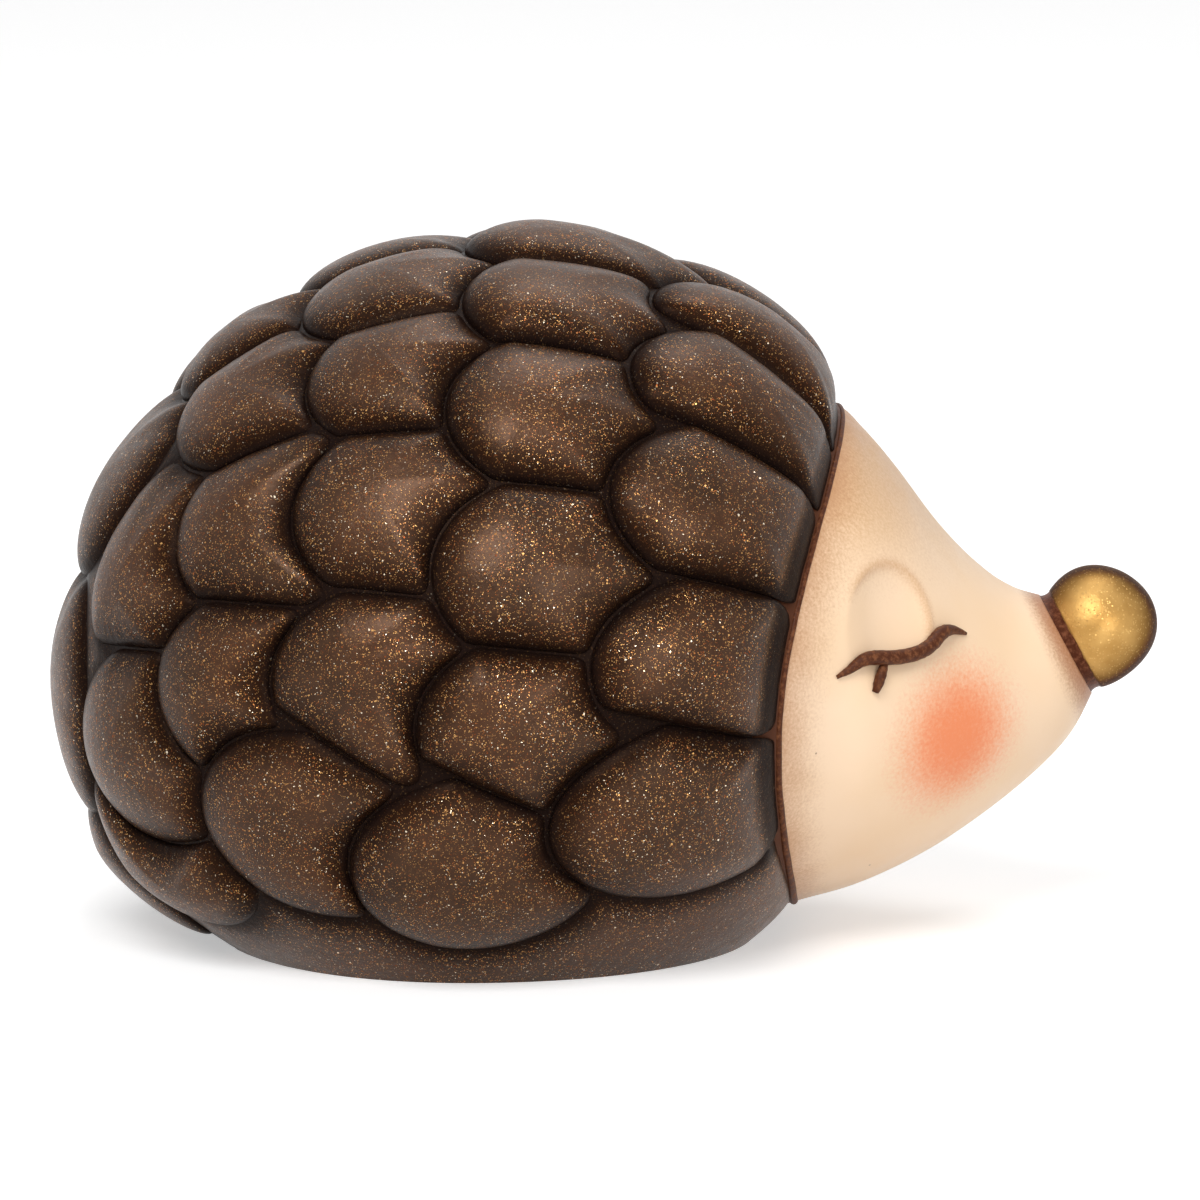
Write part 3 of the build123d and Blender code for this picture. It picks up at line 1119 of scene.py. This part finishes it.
def coat_glaze():
    """Matt brown glaze with copper flakes, darker paint in the grooves between the scales, and
    painted shade down the scales' slopes.
    """
    material, make, shader, place = new_material("coat_glaze")
    inset = make.attribute("inset")
    broad = make.noise(place, 9 * MM, 3.0)
    body = make.mix(make.band(broad, 0.35, 0.68), colour(35, 21, 13), colour(55, 31, 17))
    mottle = make.noise(place, 1.6 * MM, 4.0, 0.6)
    body = make.mix(make.band(mottle, 0.3, 0.75, 0.0, 0.5), body, colour(68, 46, 31))
    groove_edge = make.math("MULTIPLY_ADD", make.noise(place, 2.5 * MM, 3.0), 1.0 * MM, 0.7 * MM)
    groove = make.math("SUBTRACT", 1.0, make.band(inset, 0.05 * MM, groove_edge))
    # Painted shade: the glaze is darkened near every scale's rim, down the scale's slopes and on
    # the coat beside it, and left lighter on the crowns.
    painted_slope_shade = make.math("SUBTRACT", 1.0, make.band(inset, 0.6 * MM, 5.0 * MM))
    body = make.mix(make.times(painted_slope_shade, 0.76), body, colour(24, 10, 4))
    body = make.mix(make.times(groove, 0.85), body, colour(20, 13, 12))
    ragged = make.node("ShaderNodeTexNoise", Vector=place, Scale=1 / (0.24 * MM), Detail=1.0)
    warp = make.vector("MULTIPLY_ADD", ragged.outputs["Color"], (0.30 * MM,) * 3, place)
    fine_mask, fine_tint, fine_tilt = add_flakes(make, warp, 0.155 * MM, 0.5)
    big_mask, big_tint, big_tilt = add_flakes(make, warp, 0.29 * MM, 0.08)
    dense = make.band(make.noise(place, 5 * MM, 2.0), 0.25, 0.6, 0.45, 1.0)
    open_glaze = make.times(dense, make.band(inset, 0.4 * MM, 1.9 * MM, 0.10, 1.0))
    fine = make.times(fine_mask, open_glaze)
    big = make.times(big_mask, open_glaze)
    either = make.math("MAXIMUM", fine, big)
    wear = make.band(mottle, 0.3, 0.7, 0.29, 0.39)
    skin = make.bump(make.noise(place, 0.35 * MM, 3.0, 0.6), 0.05 * MM, 0.7)
    wrinkles = make.bump(make.noise(place, 1.1 * MM, 3.0), 0.09 * MM, 0.6, skin)
    tilt = make.mix(big, fine_tilt, big_tilt)
    make.fill(
        shader,
        Base_Color=make.mix(big, make.mix(fine, body, fine_tint), big_tint),
        Metallic=make.times(either, 0.75),
        Roughness=make.math("SUBTRACT", wear, make.times(either, 0.06)),
        Normal=make.lean(wrinkles, tilt, make.times(either, 0.8)),
        Specular_IOR_Level=make.band(inset, 0.4 * MM, 4.5 * MM, 0.04, 0.38),
        Specular_Tint=colour(255, 206, 174),
    )
    return material


def cream_glaze():
    """Satin cream glaze, airbrushed brown at the coat and the nose, with an orange blush."""
    material, make, shader, place = new_material("cream_glaze")
    broad = make.noise(place, 12 * MM, 2.0)
    body = make.mix(make.band(broad, 0.3, 0.7), colour(240, 207, 170), colour(244, 214, 182))
    apart = make.node("ShaderNodeSeparateXYZ", Vector=place)
    crown = make.band(apart.outputs["Z"], 32 * MM, 50 * MM, 0.0, 0.75)
    body = add_spray(make, place, body, crown, 0.28 * MM, colour(202, 158, 112))
    edge = make.attribute("from_border")
    edge_soft = make.math("ADD", edge, make.times(make.noise(place, 6 * MM, 2.0), 2.0))
    rim = make.band(edge_soft, 0.6, 6.5, 0.7, 0.0)
    body = add_spray(make, place, body, rim, 0.28 * MM, colour(182, 130, 90))
    brushed = make.math("MULTIPLY_ADD", make.noise(place, 0.8 * MM, 3.0), 0.5, 0.45)
    painted = make.math("LESS_THAN", edge, brushed)
    body = make.mix(painted, body, colour(84, 50, 34))
    muzzle = make.band(make.attribute("to_nose"), 0.0, 1.05, 0.9, 0.0)
    body = add_spray(make, place, body, muzzle, 0.25 * MM, colour(168, 116, 80))
    blush = make.band(make.attribute("from_blush"), 0.5, 11.8, 0.96, 0.0)
    body = add_spray(make, place, body, blush, 0.34 * MM, colour(236, 136, 86))
    crease = make.times(make.attribute("crease"), 0.5)
    body = add_spray(make, place, body, crease, 0.22 * MM, colour(196, 148, 102))
    specks = make.node("ShaderNodeTexVoronoi", Vector=place, Scale=1 / (3.2 * MM))
    few = make.node("ShaderNodeSeparateColor", Color=specks.outputs["Color"])
    chosen = make.math("LESS_THAN", few.outputs["Red"], 0.11)
    dot = make.times(chosen, make.band(specks.outputs["Distance"], 0.045, 0.025))
    skin = make.bump(make.noise(place, 0.5 * MM, 3.0, 0.6), 0.02 * MM, 0.5)
    make.fill(
        shader,
        Base_Color=make.mix(make.times(dot, 0.7), body, colour(120, 84, 60)),
        Roughness=make.band(make.noise(place, 2 * MM, 3.0), 0.3, 0.7, 0.34, 0.44),
        Normal=make.bump(make.noise(place, 4 * MM, 2.0), 0.12 * MM, 0.5, skin),
        Specular_IOR_Level=make.band(edge, 0.3, 1.3, 0.05, 0.45),
    )
    return material


def brown_line():
    """Brushed dark brown underglaze with a worn, speckled edge."""
    material, make, shader, place = new_material("brown_line")
    streak = make.noise(place, 0.5 * MM, 4.0, 0.65)
    make.fill(
        shader,
        Base_Color=make.mix(
            make.band(streak, 0.42, 0.72), colour(74, 37, 19), colour(120, 74, 46)
        ),
        Roughness=make.band(streak, 0.3, 0.7, 0.40, 0.58),
        Normal=make.bump(streak, 0.06 * MM, 0.8),
        Specular_IOR_Level=0.12,
    )
    return material


def gold_lustre():
    """Brushed-on gold with coarse sparkle and painted shade darkening it towards its edges, brown
    in the groove of the neck.
    """
    material, make, shader, place = new_material("gold_lustre")
    ahead = make.attribute("ahead")
    broad = make.noise(place, 3.0 * MM, 3.0)
    body = make.mix(make.band(broad, 0.3, 0.7), colour(172, 130, 70), colour(196, 154, 90))
    # Painted shade: the gold is darkened towards its edges as seen from the camera, standing in
    # for a darker reflection there.
    painted_edge_shade_facing = make.nodes.new("ShaderNodeLayerWeight").outputs["Facing"]
    body = make.mix(make.band(painted_edge_shade_facing, 0.08, 0.72, 0.0, 0.96), body, colour(62, 34, 12))
    mask, _, tilt = add_flakes(make, place, 0.26 * MM, 0.6)
    body = make.mix(make.times(mask, 0.24), body, colour(228, 190, 124))
    edge = make.math("MULTIPLY_ADD", make.noise(place, 1.0 * MM, 3.0), 0.3, 0.95)
    gold = make.band(ahead, make.math("SUBTRACT", edge, 0.12), edge)
    streak = make.noise(place, 0.5 * MM, 4.0, 0.65)
    brown = make.mix(make.band(streak, 0.4, 0.72), colour(70, 36, 24), colour(112, 68, 48))
    brushed = make.bump(make.noise(place, 0.7 * MM, 4.0), 0.06 * MM, 0.8)
    sparkle = make.times(make.times(mask, gold), 0.7)
    make.fill(
        shader,
        Base_Color=make.mix(gold, brown, body),
        Metallic=make.times(gold, 0.55),
        Roughness=make.band(broad, 0.3, 0.7, 0.36, 0.44),
        Normal=make.lean(brushed, tilt, sparkle),
        Specular_IOR_Level=0.15,
        Specular_Tint=colour(150, 104, 60),
    )
    return material


def bare_clay():
    """Unglazed fired clay under the figurine."""
    material, make, shader, place = new_material("bare_clay")
    grain = make.noise(place, 0.8 * MM, 5.0, 0.65)
    body = make.mix(make.band(grain, 0.3, 0.7), colour(214, 196, 168), colour(232, 218, 194))
    stain = make.noise(place, 8 * MM, 3.0)
    make.fill(
        shader,
        Base_Color=make.mix(
            make.band(stain, 0.45, 0.75, 0.0, 0.4), body, colour(190, 164, 132)
        ),
        Roughness=0.9,
        Normal=make.bump(grain, 0.12 * MM, 0.8),
    )
    return material


def dress(piece, *materials):
    """Gives a piece its materials."""
    for material in materials:
        piece.data.materials.append(material)


finishes = (coat_glaze, cream_glaze, brown_line, gold_lustre, bare_clay)
glaze, cream, line_paint, gold, clay = (finish() for finish in finishes)

for ring, name in enumerate(ring_tables):
    dress(build_ring(name, ring), glaze)

clay_below = 0.002 * MM
coat = build_coat()
dress(coat, glaze, clay)
for polygon in coat.data.polygons:
    if polygon.center.z < clay_below:
        polygon.material_index = 1

for side_name, side in (("right", vec(1, 1, 1)), ("left", far_flip)):
    dress(build_lash("lash_" + side_name, side), line_paint)
dress(build_collar(), line_paint)
dress(build_face(), cream)
dress(build_nose(), gold)
dress(build_base(), clay)


# Floor, light and background

lamp_aim_height = 35 * MM


def camera_sees(make, dim, bright):
    """One value for the camera, mirrors and glass, and another for the light on things."""
    path = make.nodes.new("ShaderNodeLightPath")
    seen = make.math("MAXIMUM", path.outputs["Is Camera Ray"], path.outputs["Is Glossy Ray"])
    seen = make.math("MAXIMUM", seen, path.outputs["Is Transmission Ray"])
    return make.math("MULTIPLY_ADD", seen, bright - dim, dim)


def make_floor():
    """A white floor that keeps the figurine's shadow."""
    bpy.ops.mesh.primitive_plane_add(size=6, location=(0, 0, 0))
    floor = bpy.context.object
    floor.name = "floor"
    material, make, shader, _ = new_material("floor")
    make.fill(
        shader,
        Base_Color=colour(236, 236, 236),
        Roughness=0.8,
        Emission_Color=(1, 1, 1, 1),
        Emission_Strength=camera_sees(make, 0.0, 0.45),
    )
    dress(floor, material)


def make_world():
    """Plain light from all round, and a white background."""
    world = bpy.data.worlds.new("world")
    bpy.context.scene.world = world
    world.use_nodes = True
    make = Maker(world.node_tree)
    background = world.node_tree.nodes["Background"]
    make.fill(background, Color=(1, 1, 1, 1), Strength=camera_sees(make, 0.24, 1.0))


def make_lamp(name, place, size, power):
    """A round lamp aimed at the figurine's middle."""
    data = bpy.data.lights.new(name, "AREA")
    data.shape, data.size, data.energy = "DISK", size, power
    lamp = new_object(name, data)
    lamp.location = place
    aim = Vector((0, 0, lamp_aim_height)) - Vector(place)
    lamp.rotation_euler = aim.to_track_quat("-Z", "Y").to_euler()


make_floor()
make_world()
make_lamp("key", (-0.25, -0.75, 0.75), 0.6, 8.2)
make_lamp("fill", (0.4, -0.9, 0.25), 0.5, 2.7)
make_lamp("top", (0.1, 0.25, 0.9), 0.6, 2.6)

bpy.context.scene.view_settings.view_transform = "Standard"
